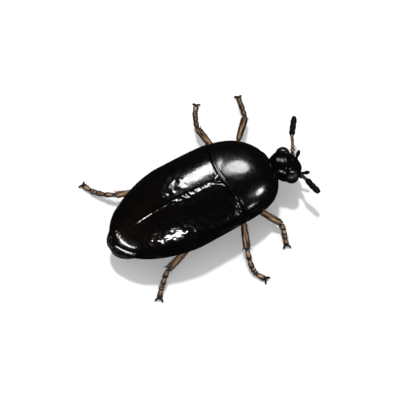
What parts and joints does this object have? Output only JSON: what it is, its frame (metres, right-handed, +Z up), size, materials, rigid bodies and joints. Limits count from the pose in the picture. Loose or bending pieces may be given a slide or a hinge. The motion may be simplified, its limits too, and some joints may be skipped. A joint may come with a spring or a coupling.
{
  "type": "black carpet beetle",
  "caption": "Life-size still model of a black carpet beetle: glossy black oval body, brown legs, clubbed feelers, standing with its feelers held out.",
  "frame": {"origin": "on the floor under the middle of the animal's box", "axes": "+X ahead, towards the head; +Y to the beetle's left; +Z up"},
  "size_m": [0.0056, 0.0052, 0.0015],
  "materials": {
    "shell": "polished black shell plates with fine pits",
    "belly": "satin black-brown underside with fine flat hairs",
    "leg": "satin tan-brown legs with dark joints and small bristles",
    "club": "matt black, finely hairy",
    "eye": "glossy black, made of many tiny lenses",
    "claw": "dark, smooth claws"
  },
  "bodies": {
    "root": {"elytron_left": "shell", "elytron_right": "shell", "scutellum": "shell", "pronotum": "shell", "abdomen": "belly", "hind_chest": "belly", "front_chest": "belly", "head": "shell", "mouthparts": "belly", "eye_left": "eye", "antenna_stalk_left": "leg", "antenna_club_left": "club", "palp_left": "club", "eye_right": "eye", "antenna_stalk_right": "leg", "antenna_club_right": "club", "palp_right": "club", "coxa_front_left": "belly", "femur_front_left": "leg", "tibia_front_left": "leg", "tarsus_front_left": "leg", "claws_front_left": "claw", "coxa_front_right": "belly", "femur_front_right": "leg", "tibia_front_right": "leg", "tarsus_front_right": "leg", "claws_front_right": "claw", "coxa_middle_left": "belly", "femur_middle_left": "leg", "tibia_middle_left": "leg", "tarsus_middle_left": "leg", "claws_middle_left": "claw", "coxa_middle_right": "belly", "femur_middle_right": "leg", "tibia_middle_right": "leg", "tarsus_middle_right": "leg", "claws_middle_right": "claw", "coxa_hind_left": "belly", "femur_hind_left": "leg", "tibia_hind_left": "leg", "tarsus_hind_left": "leg", "claws_hind_left": "claw", "coxa_hind_right": "belly", "femur_hind_right": "leg", "tibia_hind_right": "leg", "tarsus_hind_right": "leg", "claws_hind_right": "claw"}
  },
  "joints": []
}
